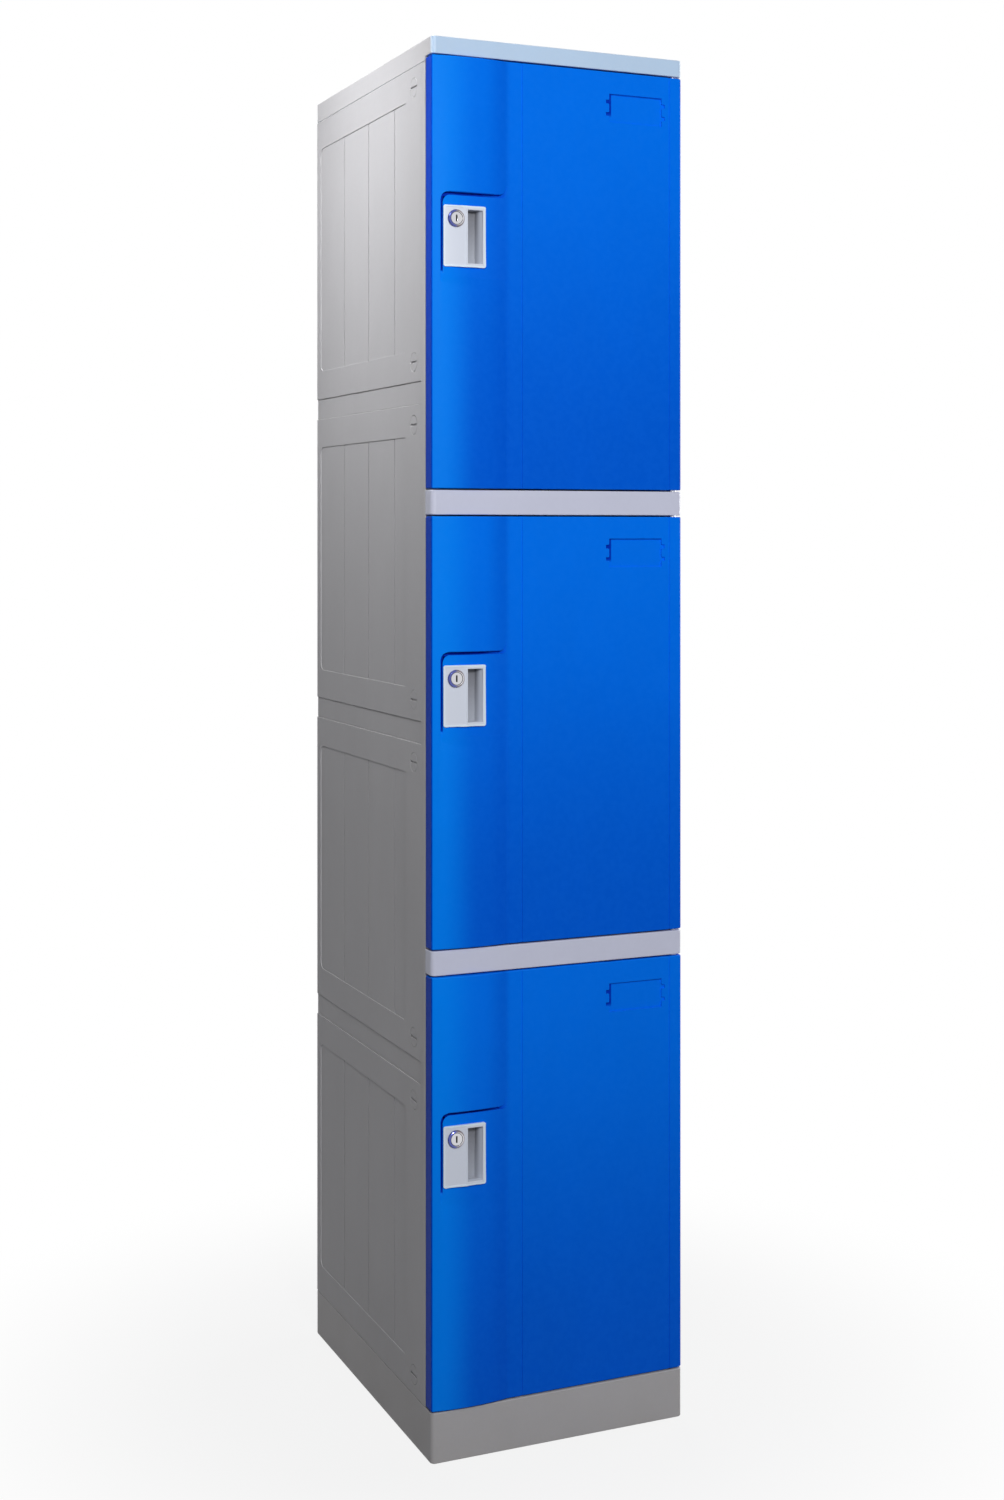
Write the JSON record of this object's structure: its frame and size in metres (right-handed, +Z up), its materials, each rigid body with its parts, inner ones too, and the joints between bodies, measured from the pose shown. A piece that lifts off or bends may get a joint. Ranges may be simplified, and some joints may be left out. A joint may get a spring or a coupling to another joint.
{
  "type": "locker cabinet",
  "caption": "Tall moulded plastic locker with three stacked cells behind right-hinged doors, each with a cam lock and finger pocket.",
  "frame": {"origin": "centre of the cabinet's footprint on the floor", "axes": "+X to the right seen from the front, +Y to the back, +Z up; the doors face -Y"},
  "size_m": [0.385, 0.5, 1.94],
  "materials": {
    "body_plastic": "light grey satin moulded plastic",
    "rail_plastic": "pale grey satin moulded plastic",
    "base_plastic": "mid grey satin moulded plastic",
    "door_plastic": "bright blue satin moulded plastic with a fine grain",
    "handle_plastic": "off-white semi-gloss moulded plastic",
    "lock_chrome": "polished plated zinc",
    "zinc_steel": "zinc plated steel"
  },
  "bodies": {
    "cabinet": {"base_plinth": "base_plastic", "base_deck": "body_plastic", "shelf_lower": "body_plastic", "shelf_upper": "body_plastic", "top_deck": "body_plastic", "top_cover": "rail_plastic", "rail_lower": "rail_plastic", "rail_upper": "rail_plastic", "front_post_left": "body_plastic", "front_post_right": "body_plastic", "rear_post_left": "body_plastic", "rear_post_right": "body_plastic", "side_panel_left_1": "body_plastic", "side_panel_left_2": "body_plastic", "side_panel_left_3": "body_plastic", "side_panel_left_4": "body_plastic", "side_panel_right_1": "body_plastic", "side_panel_right_2": "body_plastic", "side_panel_right_3": "body_plastic", "side_panel_right_4": "body_plastic", "tie_bands_left": "body_plastic", "tie_bands_right": "body_plastic", "back_panel_1": "body_plastic", "back_panel_2": "body_plastic", "back_panel_3": "body_plastic", "back_panel_4": "body_plastic", "panel_fasteners": "body_plastic", "shelf_cleats": "body_plastic", "coat_hooks": "body_plastic", "screws": "zinc_steel"},
    "door_1": {"door_shell_1": "door_plastic", "door_liner_1": "door_plastic", "hinge_pins_1": "zinc_steel", "handle_plate_1": "handle_plastic", "lock_housing_1": "lock_chrome", "lock_nut_1": "zinc_steel"},
    "lock_1": {"lock_plug_1": "lock_chrome", "lock_cam_1": "zinc_steel", "cam_screw_1": "zinc_steel"},
    "door_2": {"door_shell_2": "door_plastic", "door_liner_2": "door_plastic", "hinge_pins_2": "zinc_steel", "handle_plate_2": "handle_plastic", "lock_housing_2": "lock_chrome", "lock_nut_2": "zinc_steel"},
    "lock_2": {"lock_plug_2": "lock_chrome", "lock_cam_2": "zinc_steel", "cam_screw_2": "zinc_steel"},
    "door_3": {"door_shell_3": "door_plastic", "door_liner_3": "door_plastic", "hinge_pins_3": "zinc_steel", "handle_plate_3": "handle_plastic", "lock_housing_3": "lock_chrome", "lock_nut_3": "zinc_steel"},
    "lock_3": {"lock_plug_3": "lock_chrome", "lock_cam_3": "zinc_steel", "cam_screw_3": "zinc_steel"}
  },
  "joints": [
    {"name": "door_1_hinge", "type": "hinge", "parent": "cabinet", "child": "door_1", "pos_m": [0.182, -0.2335, 1.6195], "axis": [0, 0, 1], "range_deg": [0, 110]},
    {"name": "lock_1_turn", "type": "hinge", "parent": "door_1", "child": "lock_1", "pos_m": [-0.1577, -0.244, 1.693], "axis": [0, 1, 0], "range_deg": [0, 90]},
    {"name": "door_2_hinge", "type": "hinge", "parent": "cabinet", "child": "door_2", "pos_m": [0.182, -0.2335, 0.9925], "axis": [0, 0, 1], "range_deg": [0, 110]},
    {"name": "lock_2_turn", "type": "hinge", "parent": "door_2", "child": "lock_2", "pos_m": [-0.1577, -0.244, 1.066], "axis": [0, 1, 0], "range_deg": [0, 90]},
    {"name": "door_3_hinge", "type": "hinge", "parent": "cabinet", "child": "door_3", "pos_m": [0.182, -0.2335, 0.3655], "axis": [0, 0, 1], "range_deg": [0, 110]},
    {"name": "lock_3_turn", "type": "hinge", "parent": "door_3", "child": "lock_3", "pos_m": [-0.1577, -0.244, 0.439], "axis": [0, 1, 0], "range_deg": [0, 90]}
  ]
}
